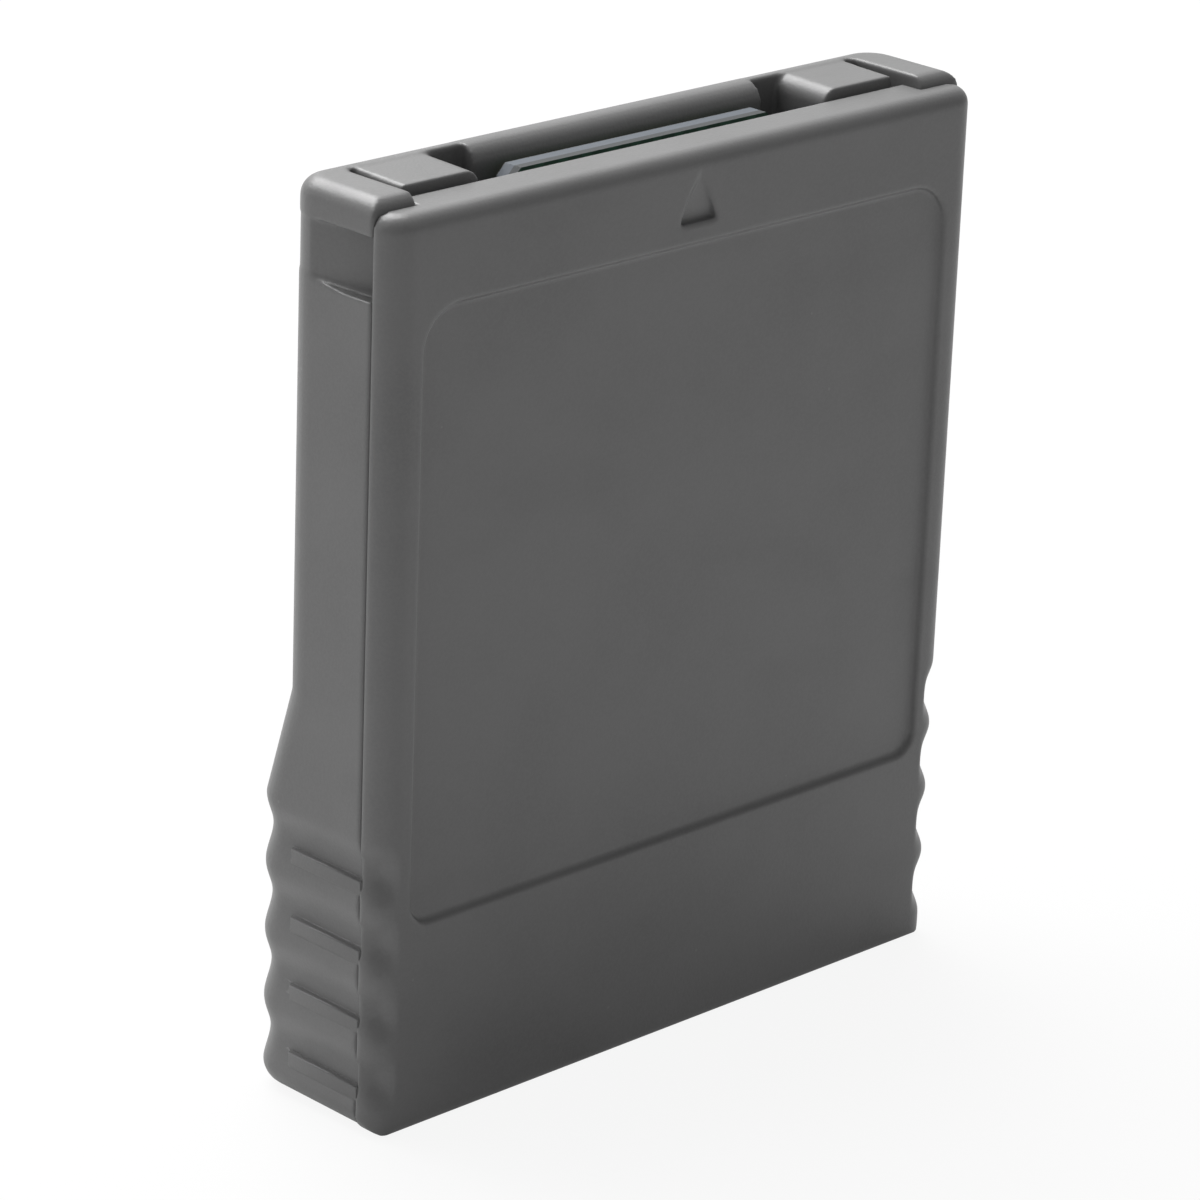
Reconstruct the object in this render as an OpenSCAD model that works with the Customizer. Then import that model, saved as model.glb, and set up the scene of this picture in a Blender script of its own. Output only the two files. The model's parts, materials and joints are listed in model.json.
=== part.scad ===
// Memory card adapter: two moulded covers snapped over a circuit board.
// The board ends in a gold-fingered tongue at the top and carries a
// friction-held card socket that opens through the flat grip end.
// X is the width, Y the thickness (front face toward -Y), Z the height.

/* [Body] */
// Width across the flat sides
body_width = 42; // [41:0.5:46]
// Height of the front cover
body_height = 49.4; // [48.6:0.2:54]
// Thickness above the grip
body_depth = 8.2; // [8:0.1:9.4]
// Wall thickness of both covers
wall = 1.3; // [1.2:0.05:1.4]
// Radius of the front edges
front_radius = 1.5; // [1.2:0.1:1.9]
// Radius of the rear upright edges
rear_radius = 2.0; // [1.5:0.1:2.2]
// Depth of the front cover at the sides
cover_depth = 1.55; // [1.5:0.05:1.9]
// Step from the front cover up to the rear cover's rim
rim_step = 0.6; // [0.4:0.1:0.8]
// Step from the front cover up to the end blocks
block_step = 0.25; // [0.1:0.05:0.4]

/* [Grip] */
// How far the back swells at the grip
grip_bulge = 1.9; // [1:0.1:2.2]
// Slope of the ramp into the swell, degrees
ramp_angle = 17; // [14:1:22]
// Spacing of the finger grooves
groove_pitch = 3.85; // [3.6:0.05:4]
// Depth of the finger grooves
groove_depth = 0.44; // [0.2:0.02:0.5]
// Number of finger grooves on each side
groove_count = 4; // [2:1:4]
// Height of the lowest groove
groove_first = 3.1; // [2.9:0.1:3.4]
// Height of one raised grip rib
rib_height = 0.8; // [0.5:0.05:0.9]
// Distance of a rib below the middle of its groove
rib_drop = 0.85; // [0.6:0.05:1]

/* [Front face] */
// Margin between the label recess and the sides
label_margin = 2.2; // [2:0.05:3]
// Lower edge of the label recess
label_bottom = 11.5; // [10:0.1:14]
// Height of the band above the label recess
label_drop = 4.9; // [4.8:0.1:7]
// Depth of the label recess
label_depth = 0.35; // [0.2:0.05:0.4]
// Height of the insertion arrow
arrow_height = 2.87; // [2:0.05:3]
// Width of the insertion arrow's base
arrow_width = 2.7; // [2:0.1:3.2]

/* [Connector mouth] */
// Width of the mouth
mouth_width = 24.7; // [24:0.1:26]
// Width of the thick lip behind the board
lip_width = 20.6; // [19:0.2:21.6]
// Thickness of that lip
lip_depth = 2.3; // [2:0.1:2.4]
// Width of one end block
block_width = 5.45; // [5:0.05:5.6]
// Gap around the end blocks
block_gap = 0.35; // [0.25:0.05:0.45]
// Width of the board tongue
tongue_width = 18.8; // [18.4:0.1:20]
// Number of gold fingers
finger_count = 12; // [10:1:12]
// Length of one gold finger
finger_length = 4.7; // [4:0.1:5.2]
// Thickness of the circuit board
board_thickness = 1.2; // [1:0.1:1.3]

/* [Card slot] */
// Width of the card bay
bay_width = 24.4; // [24.2:0.1:24.8]
// Thickness of the card bay
bay_depth = 2.2; // [2.15:0.05:2.25]
// Length of the card bay
bay_length = 27.4; // [26:0.2:28]
// Width of one spring contact
contact_width = 0.9; // [0.7:0.05:1]
// Thickness of the spring strip
contact_thickness = 0.15; // [0.12:0.01:0.2]

/* [Hidden] */
$fn = 48;
seam = 0.1;
seat_clearance = 0.1;
pin_clearance = 0.08;

total_depth = body_depth + grip_bulge;
front_y = -total_depth / 2;
rear_y = front_y + body_depth;
grip_y = total_depth / 2;
half_w = body_width / 2;
rim_top = body_height + rim_step;
block_top = body_height + block_step;
parting_y = front_y + cover_depth;
flange_depth = 2.9;
flange_y = front_y + flange_depth;
flange_z = body_height - front_radius - 0.3;
inner_front_y = front_y + wall;
inner_rear_y = rear_y - wall;
inner_half_w = half_w - wall;
crown_z = body_height - 5.1;
label_top = body_height - label_drop;
notch_height = 3.0;
notch_z = body_height - 4.2;
notch_depth = 1.7;

// The side wave is made of equal arcs
wave_radius = (pow(groove_pitch / 4, 2) + pow(groove_depth / 2, 2)) / groove_depth;
wave_top = groove_first + (groove_count - 0.5) * groove_pitch;
corner_z = groove_first - groove_pitch / 2;
ramp_top = wave_top + grip_bulge / tan(ramp_angle);
heel = 1.2;

shield_thickness = 0.2;
shield_y = inner_front_y + 0.05;
bay_y = shield_y + shield_thickness;
bay_floor_y = bay_y + bay_depth;
base_floor = 0.35;
bay_bottom = wall + 0.6;
bay_top = bay_bottom + bay_length;
rail_width = 0.9;
base_half_w = bay_width / 2 + rail_width;
shield_half_w = base_half_w + seat_clearance + shield_thickness;
foot_length = 1.4;
foot_width = 2.2;
foot_z = [bay_bottom + 9.1, bay_top - 4];
base_top = bay_top + 1.1;
tail_z = base_top + 1.5;

board_front_y = bay_floor_y + base_floor;
board_rear_y = board_front_y + board_thickness;
board_half_w = inner_half_w - 0.9;
board_bottom = wall + 1.7;
board_top = crown_z - 0.25;
tongue_top = body_height - 0.3;

post_radius = 1.5;
pin_radius = 0.8;
pin_x = (shield_half_w + board_half_w) / 2;
pin_z = [board_bottom + 4.2, board_top - 5.45];

block_inner_x = mouth_width / 2;
block_outer_x = block_inner_x + block_width;
block_front_y = flange_y + 0.4;
block_back_y = rear_y - 0.9;
rim_inner_x = block_outer_x + block_gap;
lip_front_y = rear_y - lip_depth;

finger_pitch = (tongue_width - 1.6) / finger_count;
finger_width = finger_pitch * 0.66;
finger_thickness = 0.05;

// Eight pads stand in a row and the ninth beside them, as on the card
contact_count = 9;
contact_pitch = bay_width * 0.1025;
contact_start = -bay_width * 0.422;
contact_last = bay_width * 0.365;
contact_slack = 0.15;
detect_x = bay_width / 2 - 0.475;
protect_x = bay_width / 2 + 0.425;
post_gap = 1.05;
strip_depth = 0.9;
strip_rise = 1.3;
foot_size = 0.45;

chip_z = tail_z + 4.5;
resistor_size = [0.8, 0.45, 1.6];
capacitor_size = [1.25, 0.85, 2.0];
resistor_xs = [for (i = [0 : 4]) contact_start + 1.7 + i * 2.3];
capacitor_xs = [for (i = [0, 1]) -contact_start - 5.9 + i * 3.6];

// Rectangle with one radius on the low-y corners and another on the high-y corners
module mixed_round(x_half, y0, y1, r0, r1) {
    translate([-x_half, y0 + r0])
        square([2 * x_half, y1 - y0 - r0 - r1]);
    if (r0 > 0) {
        translate([-x_half + r0, y0])
            square([2 * (x_half - r0), r0 + 0.01]);
        for (side = [-1, 1])
            translate([side * (x_half - r0), y0 + r0])
                circle(r = r0);
    }
    if (r1 > 0) {
        translate([-x_half + r1, y1 - r1 - 0.01])
            square([2 * (x_half - r1), r1 + 0.01]);
        for (side = [-1, 1])
            translate([side * (x_half - r1), y1 - r1])
                circle(r = r1);
    }
}

// Draws a side view and pulls it along X about the middle
module along_x(length) {
    translate([-length / 2, 0, 0])
        rotate([90, 0, 90])
            linear_extrude(height = length)
                children();
}

// Draws a front view and pulls it along Y
module along_y(y0, y1) {
    translate([0, y1, 0])
        rotate([90, 0, 0])
            linear_extrude(height = y1 - y0)
                children();
}

module both_sides() {
    for (side = [-1, 1])
        scale([side, 1, 1])
            children();
}

// Lower corner cut that rounds the outline below the lowest crest
module corner_cut() {
    difference() {
        translate([half_w - corner_z, -1])
            square([corner_z + 1, corner_z + 1]);
        translate([half_w - corner_z, corner_z])
            circle(r = corner_z);
    }
}

// Front view of the front cover: round corners and the wavy finger grooves
module face_outline(top, corner) {
    mid_x = half_w - groove_depth / 2;
    difference() {
        union() {
            mixed_round(half_w, wave_top, top, 0, corner);
            translate([-mid_x - 0.04, 0])
                square([2 * mid_x + 0.08, wave_top + 0.01]);
            for (i = [0 : groove_count], side = [-1, 1])
                translate([side * (half_w - wave_radius),
                        groove_first + (i - 0.5) * groove_pitch])
                    circle(r = wave_radius, $fn = 96);
        }
        for (i = [0 : groove_count - 1], side = [-1, 1])
            translate([side * (half_w - groove_depth + wave_radius),
                    groove_first + i * groove_pitch])
                circle(r = wave_radius, $fn = 96);
        for (side = [0, 1])
            mirror([side, 0])
                corner_cut();
        translate([-half_w - 1, -10])
            square([body_width + 2, 10]);
    }
}

// Side view of the front cover: thin sides below, a deeper flange at the top
module front_side_view() {
    toe = 0.4;
    brow_z = body_height - front_radius;
    translate([front_y, toe])
        square([cover_depth, brow_z - toe]);
    translate([front_y + toe, 0])
        square([cover_depth - toe, toe + 0.01]);
    translate([front_y + toe, toe])
        circle(r = toe, $fn = 24);
    translate([front_y + front_radius, brow_z - 0.3])
        square([flange_depth - front_radius, front_radius + 0.3]);
    intersection() {
        translate([front_y + front_radius, brow_z])
            circle(r = front_radius);
        translate([front_y - 1, brow_z - 0.3])
            square([front_radius + 1.2, front_radius + 1]);
    }
}

module arrow_cut() {
    base_z = label_top + 1.13;
    slant = atan(0.4 / arrow_height);
    translate([0, front_y, base_z])
        rotate([slant, 0, 0])
            translate([0, 0.4, 0])
                rotate([90, 0, 0])
                    linear_extrude(height = 2)
                        polygon([[-arrow_width / 2, 0], [arrow_width / 2, 0],
                            [0, arrow_height]]);
}

module label_cut() {
    along_y(front_y - 1, front_y + label_depth)
        mixed_round(half_w - label_margin, label_bottom, label_top, 1.4, 2.4);
}

// Opening for the card through the flat grip end
module slot_cut() {
    slot_half = bay_width / 2 + 0.2;
    translate([-slot_half, bay_y - 0.1, -1])
        cube([2 * slot_half, bay_depth + 0.2, bay_bottom + 1.6]);
}

module front_cover() {
    color("#8d8f90")
    difference() {
        union() {
            difference() {
                intersection() {
                    linear_extrude(height = body_height + 1)
                        mixed_round(half_w, front_y, flange_y + 1, front_radius, 0);
                    along_x(body_width + 2)
                        front_side_view();
                    along_y(front_y - 1, flange_y + 1)
                        face_outline(body_height, 2.0);
                }
                translate([-inner_half_w, inner_front_y, wall])
                    cube([2 * inner_half_w, 6, crown_z - wall]);
                translate([-rim_inner_x, inner_front_y + 0.4, crown_z - 1])
                    cube([2 * rim_inner_x, 6, flange_z - crown_z + 0.6]);
            }
            for (side = [-1, 1], z = pin_z)
                translate([side * pin_x, inner_front_y - 0.2, z])
                    rotate([-90, 0, 0])
                        cylinder(h = board_front_y - inner_front_y + 0.2, r = post_radius);
        }
        for (side = [-1, 1], z = pin_z)
            translate([side * pin_x, board_front_y - 1.6, z])
                rotate([-90, 0, 0])
                    cylinder(h = 3, r = pin_radius + pin_clearance);
        label_cut();
        arrow_cut();
        slot_cut();
    }
}

// Side view of the upper rear cover, with the deeper step behind the flange
module rear_upper_view() {
    top_round = 0.8;
    translate([parting_y + seam, -1])
        square([rear_y - parting_y - seam, flange_z - seam + 1]);
    translate([flange_y + seam, flange_z - seam - 0.01])
        square([rear_y - flange_y - seam, rim_top - top_round - flange_z + seam + 0.01]);
    translate([flange_y + seam + top_round, rim_top - top_round - 0.01])
        square([rear_y - flange_y - seam - 2 * top_round, top_round + 0.01]);
    translate([flange_y + seam + top_round, rim_top - top_round])
        circle(r = top_round);
    translate([rear_y - top_round, rim_top - top_round])
        circle(r = top_round);
}

// Side view of the swollen grip
module grip_side_view() {
    back = grip_y - parting_y - seam;
    translate([parting_y + seam, heel])
        square([back, ramp_top]);
    translate([parting_y + seam, 0])
        square([back - heel, heel + 0.01]);
    translate([grip_y - heel, heel])
        circle(r = heel);
}

module ramp_body(inset) {
    length = body_height;
    translate([0, rear_y - inset, ramp_top])
        rotate([ramp_angle, 0, 0])
            translate([0, 0, -length])
                linear_extrude(height = length + 15)
                    mixed_round(half_w - inset, -9, 0, 0, inset > 0 ? 0.8 : rear_radius);
}

// Scallops that carry each finger groove round the rear edge of one side
module edge_scallops() {
    depth = groove_depth * 0.72;
    scallop = 1.15 * groove_pitch;
    reach = 6;
    for (i = [0 : groove_count - 1])
        translate([half_w - rear_radius, grip_y - rear_radius, groove_first + i * groove_pitch])
            rotate([0, 0, 45])
                translate([rear_radius - depth + scallop, reach, 0])
                    rotate([90, 0, 0])
                        cylinder(h = 2 * reach, r = scallop);
}

module rear_outer() {
    difference() {
        intersection() {
            union() {
                intersection() {
                    linear_extrude(height = rim_top + 1)
                        mixed_round(half_w, front_y, rear_y, 0, rear_radius);
                    along_x(body_width + 2)
                        rear_upper_view();
                }
                intersection() {
                    linear_extrude(height = ramp_top + 1)
                        mixed_round(half_w, front_y, grip_y, 0, rear_radius);
                    along_x(body_width + 2)
                        grip_side_view();
                    ramp_body(0);
                }
            }
            along_y(front_y - 1, grip_y + 1)
                face_outline(rim_top, 1.4);
        }
        both_sides()
            edge_scallops();
    }
}

// Notch low on the shoulder of each side, deeper toward the front
module side_notch() {
    both_sides()
        translate([0, 0, notch_z])
            linear_extrude(height = notch_height)
                polygon([[half_w - notch_depth, parting_y - 1], [half_w + 1, parting_y - 1],
                    [half_w + 1, rear_y - 1.6], [half_w, rear_y - 1.8],
                    [half_w - notch_depth, parting_y + seam]]);
}

module grip_ribs() {
    sunk = 1.0;
    for (side = [-1, 1], i = [0 : groove_count - 1])
        translate([side * (half_w - 0.05 - sunk / 2), 0,
                groove_first + i * groove_pitch - rib_drop])
            translate([-sunk / 2, parting_y + seam, -rib_height / 2])
                cube([sunk, rear_y - 0.9 - parting_y, rib_height]);
}

// Thick lip behind the board, rounded on top
module mouth_lip() {
    radius = lip_depth / 2;
    translate([-lip_width / 2, lip_front_y, crown_z + 0.7])
        cube([lip_width, lip_depth - 0.5, rim_top - crown_z - 0.7 - radius]);
    translate([-lip_width / 2, lip_front_y + radius, rim_top - radius])
        rotate([0, 90, 0])
            cylinder(h = lip_width, r = radius);
}

module rear_cover() {
    color("#8a8c8d")
    difference() {
        union() {
            difference() {
                rear_outer();
                translate([-inner_half_w, front_y - 1, wall])
                    cube([2 * inner_half_w, inner_rear_y - front_y + 1, crown_z - wall]);
                intersection() {
                    translate([-inner_half_w, inner_rear_y - 0.5, wall])
                        cube([2 * inner_half_w, grip_bulge + 0.5, ramp_top + 2]);
                    ramp_body(wall);
                }
                translate([-rim_inner_x, front_y - 1, crown_z - 0.5])
                    cube([2 * rim_inner_x, inner_rear_y - front_y + 1, 8]);
            }
            both_sides()
                end_block();
            mouth_lip();
            for (side = [-1, 1])
                rear_posts(side);
            grip_ribs();
        }
        side_notch();
        slot_cut();
    }
}

// Raised block at one end of the mouth
module end_block() {
    soft = 0.5;
    intersection() {
        translate([block_inner_x, 0, crown_z])
            linear_extrude(height = 8)
                translate([block_width / 2, 0])
                    mixed_round(block_width / 2, block_front_y, block_back_y, soft, 0);
        translate([block_inner_x + block_width / 2, 0, 0])
            along_y(block_front_y - 1, block_back_y + 1)
                mixed_round(block_width / 2, crown_z - 1, block_top, 0, 0.9);
    }
}

module rear_posts(side) {
    for (z = pin_z)
        translate([side * pin_x, 0, z])
            rotate([-90, 0, 0]) {
                translate([0, 0, board_rear_y])
                    cylinder(h = rear_wall_y(z) - board_rear_y + 0.3, r = post_radius);
                translate([0, 0, board_front_y - 1.2])
                    cylinder(h = board_thickness + 1.5, r = pin_radius);
            }
}

function rear_wall_y(z) = z < wave_top ? grip_y - wall : inner_rear_y;

module circuit_board() {
    chamfer = 0.6;
    color("#1f5a35")
    along_y(board_front_y, board_rear_y)
        difference() {
            polygon([[-board_half_w, board_bottom], [board_half_w, board_bottom],
                [board_half_w, board_top], [tongue_width / 2, board_top],
                [tongue_width / 2, tongue_top - chamfer],
                [tongue_width / 2 - chamfer, tongue_top],
                [-tongue_width / 2 + chamfer, tongue_top],
                [-tongue_width / 2, tongue_top - chamfer],
                [-tongue_width / 2, board_top], [-board_half_w, board_top]]);
            for (side = [-1, 1], z = pin_z)
                translate([side * pin_x, z])
                    circle(r = pin_radius + pin_clearance);
        }
}

module edge_fingers() {
    setback = 0.5;
    color("#c9a24a")
    for (i = [0 : finger_count - 1])
        translate([(i - (finger_count - 1) / 2) * finger_pitch - finger_width / 2,
                board_rear_y, tongue_top - setback - finger_length])
            cube([finger_width, finger_thickness, finger_length]);
}

function contact_x(i) = i < 8 ? contact_start + i * contact_pitch : contact_last;

module socket_base() {
    color("#222426")
    difference() {
        translate([-base_half_w, bay_y, bay_bottom])
            cube([2 * base_half_w, board_front_y - bay_y, base_top - bay_bottom]);
        translate([-bay_width / 2, bay_y - 1, bay_bottom - 1])
            cube([bay_width, bay_depth + 1, bay_length + 1]);
        for (i = [0 : contact_count - 1])
            translate([contact_x(i) - contact_width / 2 - contact_slack,
                    bay_floor_y - 0.3, bay_top - 8])
                cube([contact_width + 2 * contact_slack, 2, base_top - bay_top + 9]);
        switch_pocket(detect_x, 3.2);
        scale([-1, 1, 1])
            switch_pocket(protect_x, 9.6);
    }
}

// Pocket for one switch: a slot for the spring and one for its fixed post
module switch_pocket(x, length) {
    translate([x - contact_thickness - contact_slack, bay_y + 0.5, bay_top - length])
        cube([contact_thickness + 2 * contact_slack, 4, length + base_top - bay_top + 1]);
    translate([x - contact_thickness - contact_slack - 0.35, bay_y + 0.5, bay_top - length])
        cube([0.36, board_front_y - bay_y - 0.5 - base_floor, length]);
    translate([x - post_gap - 0.45, bay_y + 0.5, bay_top - 0.5])
        cube([0.9, 4, base_top - bay_top + 1.5]);
}

module socket_shield() {
    top_z = base_top - 0.4;
    spring_z = bay_bottom + 15;
    color("#c3c6c8")
    difference() {
        union() {
            translate([-shield_half_w, shield_y, bay_bottom])
                cube([2 * shield_half_w, shield_thickness, top_z - bay_bottom]);
            both_sides()
                shield_side(top_z);
        }
        for (x = [-6, 6])
            translate([x - 1.2, shield_y - 1, spring_z])
                cube([2.4, 2, 5.5]);
        translate([-4.5, shield_y - 1, bay_bottom - 1])
            cube([9, 2, 2.2]);
        translate([0, shield_y - 1, bay_bottom + 1.2])
            rotate([-90, 0, 0])
                cylinder(h = 2, r = 4.5);
    }
    color("#c3c6c8")
    for (x = [-6, 6])
        translate([x - 0.6, shield_y, spring_z - 0.01])
            cube([1.2, shield_thickness, 4.4]);
}

module shield_side(top_z) {
    wall_x = shield_half_w - shield_thickness;
    translate([wall_x, shield_y, bay_bottom])
        cube([shield_thickness, board_front_y - 0.05 - shield_y, top_z - bay_bottom]);
    for (z = foot_z)
        translate([wall_x, board_front_y - 0.05 - shield_thickness, z])
            cube([foot_length, shield_thickness + 0.05, foot_width]);
}

// One bent spring: solder tail, run under the bay, rise and contact dome
module signal_contacts() {
    low = board_front_y;
    t = contact_thickness;
    color("#b98c4e")
    for (i = [0 : contact_count - 1])
        translate([contact_x(i), 0, 0])
            along_x(contact_width)
                polygon([[low, tail_z], [low, base_top - 0.6], [low - 0.12, base_top - 1.2],
                    [low - 0.12, bay_top - 2.4], [low - 1.05, bay_top - 6],
                    [low - 0.75, bay_top - 7.2], [low - 0.75 - t, bay_top - 7.2],
                    [low - 1.05 - t, bay_top - 6], [low - 0.12 - t, bay_top - 2.3],
                    [low - 0.12 - t, base_top - 1.1], [low - t, base_top - 0.5],
                    [low - t, tail_z]]);
}

// Spring of one switch: an upright strip with a bent tip and a solder foot
module switch_spring(x, tip_z) {
    t = contact_thickness;
    along_y(board_front_y - strip_rise, board_front_y - strip_rise + strip_depth)
        polygon([[x - t, tail_z - 0.6], [x - t, tip_z + 1.3],
            [x - t - 0.35, tip_z], [x - 0.35, tip_z],
            [x, tip_z + 1.2], [x, tail_z - 0.6]]);
    translate([x - 0.3, board_front_y - foot_size, base_top + 0.15])
        cube([0.4, foot_size, 0.6]);
}

// Fixed post that the spring touches when the card is in
module switch_post(x) {
    t = contact_thickness;
    translate([x - post_gap - 0.3, board_front_y - t, bay_top + 0.3])
        cube([0.6, t, tail_z - bay_top - 0.3]);
    translate([x - post_gap - 0.3, board_front_y - strip_rise, bay_top + 0.3])
        cube([0.6, strip_rise, t]);
}

module detect_spring() {
    color("#b98c4e")
        switch_spring(detect_x, bay_top - 2.6);
}

module detect_post() {
    color("#b98c4e")
        switch_post(detect_x);
}

module protect_spring() {
    color("#b98c4e")
        scale([-1, 1, 1])
            switch_spring(protect_x, bay_top - 9);
}

module protect_post() {
    color("#b98c4e")
        scale([-1, 1, 1])
            switch_post(protect_x);
}

// Chips stand upright on the board; size is width, height off the board, length
module chip_bodies(size, xs) {
    cap = size[2] * 0.2;
    for (x = xs)
        translate([x - size[0] / 2, board_front_y - size[1] + 0.03, chip_z - size[2] / 2 + cap])
            cube([size[0], size[1] - 0.03, size[2] - 2 * cap]);
}

module chip_ends(size, xs) {
    cap = size[2] * 0.2;
    for (x = xs, end = [-1, 1])
        translate([x - size[0] / 2, board_front_y - size[1],
                chip_z + end * (size[2] - cap) / 2 - cap / 2])
            cube([size[0], size[1], cap]);
}

module resistor_bodies() {
    color("#1c1c1e")
        chip_bodies(resistor_size, resistor_xs);
}

module resistor_ends() {
    color("#c9cbcc")
        chip_ends(resistor_size, resistor_xs);
}

module capacitor_bodies() {
    color("#a98b62")
        chip_bodies(capacitor_size, capacitor_xs);
}

module capacitor_ends() {
    color("#c9cbcc")
        chip_ends(capacitor_size, capacitor_xs);
}

module contact_solder() {
    color("#b9bcbe")
    for (i = [0 : contact_count - 1])
        translate([contact_x(i), 0, 0])
            along_x(contact_width - 0.1)
                polygon([[board_front_y, tail_z], [board_front_y, tail_z + 0.55],
                    [board_front_y - 0.05, tail_z + 0.5],
                    [board_front_y - contact_thickness, tail_z]]);
}

module shield_solder() {
    edge_x = shield_half_w - shield_thickness + foot_length;
    color("#b9bcbe")
    for (z = foot_z)
        both_sides()
            translate([0, 0, z + 0.1])
                linear_extrude(height = foot_width - 0.2)
                    polygon([[edge_x, board_front_y], [edge_x + 0.5, board_front_y],
                        [edge_x, board_front_y - 0.2]]);
}

front_cover();
rear_cover();
circuit_board();
edge_fingers();
socket_base();
socket_shield();
signal_contacts();
detect_spring();
detect_post();
protect_spring();
protect_post();
resistor_bodies();
resistor_ends();
capacitor_bodies();
capacitor_ends();
contact_solder();
shield_solder();
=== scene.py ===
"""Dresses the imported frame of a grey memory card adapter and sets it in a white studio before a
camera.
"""

import json
import logging
import math
from dataclasses import dataclass, field
from enum import Enum
from typing import Any, Callable, Protocol

import bmesh
import bpy
from mathutils import Matrix, Vector


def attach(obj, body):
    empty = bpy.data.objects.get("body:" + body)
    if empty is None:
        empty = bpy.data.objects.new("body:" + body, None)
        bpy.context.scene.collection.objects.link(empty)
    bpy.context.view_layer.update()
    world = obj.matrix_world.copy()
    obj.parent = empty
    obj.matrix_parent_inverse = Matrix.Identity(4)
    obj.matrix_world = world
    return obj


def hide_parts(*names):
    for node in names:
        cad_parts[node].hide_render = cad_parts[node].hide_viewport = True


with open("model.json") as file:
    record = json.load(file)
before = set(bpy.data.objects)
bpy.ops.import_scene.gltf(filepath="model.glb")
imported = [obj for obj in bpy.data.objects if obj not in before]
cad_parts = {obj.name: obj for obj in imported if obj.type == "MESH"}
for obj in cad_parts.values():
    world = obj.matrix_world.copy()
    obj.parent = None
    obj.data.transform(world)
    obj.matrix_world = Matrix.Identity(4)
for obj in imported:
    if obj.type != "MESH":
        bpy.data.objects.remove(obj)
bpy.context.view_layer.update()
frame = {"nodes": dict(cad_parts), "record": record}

LOG = logging.getLogger("adapter")

# One millimetre in metres. All other lengths of the modelling are in millimetres.
MM = 0.001

# Tolerance of a comparison, and how far a cutting block reaches past what it opens.
SLACK = 0.001
OVERSHOOT = 1.0

# Planes that lie clear of the adapter's sides, top and front.
FAR = 30.0
ABOVE = 60.0
BEFORE = -6.0

# An edge runs along an axis when that share of its length does.
ALONG_SHARE = 0.8

# Fineness of rods, edge roundings and finger grooves.
ROD_SIDES = 48
ROUND_STEPS = 8
RINGS_A_WAVE = 16

Colour = tuple[float, float, float]
Corner = tuple[float, float, float]
EdgeTest = Callable[[Vector], bool]


class Axis(Enum):
    """The three directions of the frame."""

    X = 0
    Y = 1
    Z = 2


class Combine(Enum):
    """What one solid does to another."""

    ADD = "UNION"
    CUT = "DIFFERENCE"
    TRIM = "INTERSECT"


@dataclass(frozen=True)
class MeshGrade:
    """How finely a softened piece is meshed."""

    voxel_mm: float
    turns: int
    triangles: int


class Term:
    """A node's output socket that takes part in Python arithmetic."""

    def __init__(self, recipe: "Recipe", socket: bpy.types.NodeSocket) -> None:
        """Keeps the socket and the recipe it belongs to."""
        self.recipe = recipe
        self.socket = socket

    def _math(self, operation: str, first: Any, second: Any = 0.0) -> "Term":
        """Adds one Math node.

        Args:
            operation: Name of the Math node's operation.
            first: Left value, a number or a Term.
            second: Right value, a number or a Term.

        Returns:
            The node's result.
        """
        return self.recipe.add("ShaderNodeMath", {"operation": operation}, {0: first, 1: second})

    def __add__(self, other: Any) -> "Term":
        """Sum."""
        return self._math("ADD", self, other)

    def __radd__(self, other: Any) -> "Term":
        """Sum with a number on the left."""
        return self._math("ADD", other, self)

    def __sub__(self, other: Any) -> "Term":
        """Difference."""
        return self._math("SUBTRACT", self, other)

    def __rsub__(self, other: Any) -> "Term":
        """Difference from a number on the left."""
        return self._math("SUBTRACT", other, self)

    def __mul__(self, other: Any) -> "Term":
        """Product."""
        return self._math("MULTIPLY", self, other)

    def __rmul__(self, other: Any) -> "Term":
        """Product with a number on the left."""
        return self._math("MULTIPLY", other, self)

    def __gt__(self, other: Any) -> "Term":
        """1 where this is greater, else 0."""
        return self._math("GREATER_THAN", self, other)

    def __lt__(self, other: Any) -> "Term":
        """1 where this is less, else 0."""
        return self._math("LESS_THAN", self, other)

    def __abs__(self) -> "Term":
        """Size without its sign."""
        return self._math("ABSOLUTE", self)

    def ramp(self, low: float, high: float, start: float = 0.0, end: float = 1.0) -> "Term":
        """Runs smoothly between two values.

        Args:
            low: Input at which the result is start.
            high: Input at which the result is end.
            start: Result at low.
            end: Result at high.

        Returns:
            The eased result.
        """
        return self.recipe.add(
            "ShaderNodeMapRange",
            {"interpolation_type": "SMOOTHSTEP"},
            {"Value": self, "From Min": low, "From Max": high, "To Min": start, "To Max": end},
        )


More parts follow.
